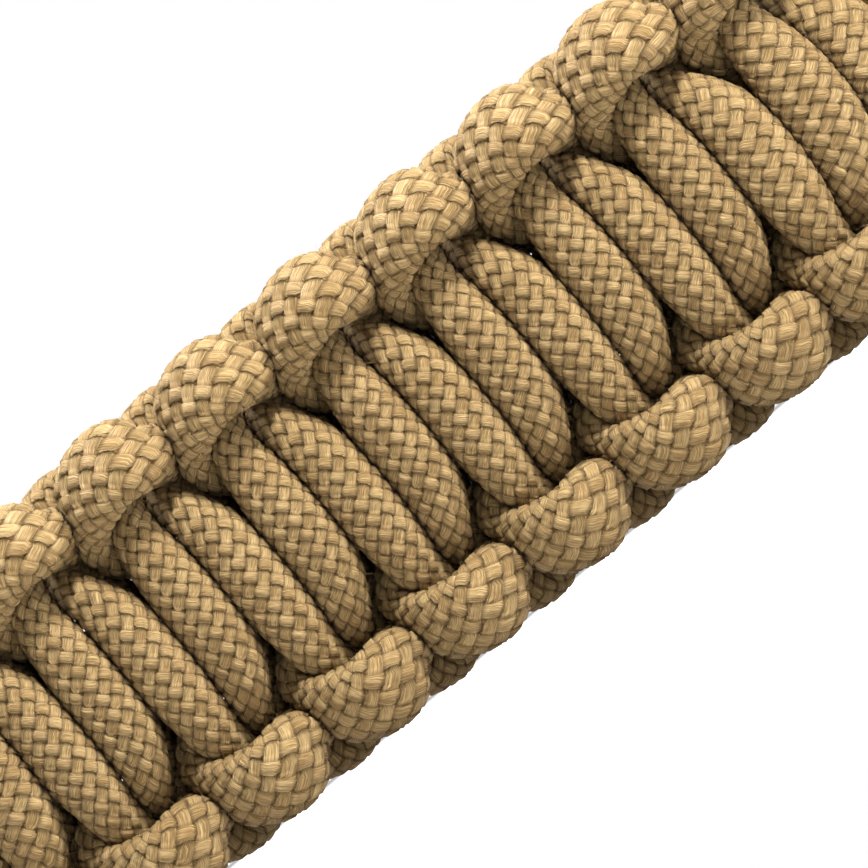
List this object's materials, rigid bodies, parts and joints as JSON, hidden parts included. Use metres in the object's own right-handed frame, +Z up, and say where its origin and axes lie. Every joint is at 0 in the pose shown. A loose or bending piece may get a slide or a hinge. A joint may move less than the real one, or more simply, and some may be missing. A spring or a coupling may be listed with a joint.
{
  "type": "paracord bracelet",
  "caption": "Bracelet of knotted round braided cord: two core strands wrapped in square knots by two working cords and joined by a plain clasp, lying on its side.",
  "frame": {"origin": "middle of the loop, on the surface that it lies on", "axes": "+Z up, along the band's width and the wrist's axis; the straight front stretch faces -Y, and +X runs along it"},
  "size_m": [0.103, 0.0534, 0.0251],
  "materials": {
    "core_cord": "braided nylon",
    "cord_sheath": "braided nylon, dull sheen",
    "clasp": "fine moulded texture"
  },
  "bodies": {
    "root": {"core_cord": "core_cord", "front_cord": "cord_sheath", "back_cord": "cord_sheath", "clasp": "clasp"}
  },
  "joints": []
}
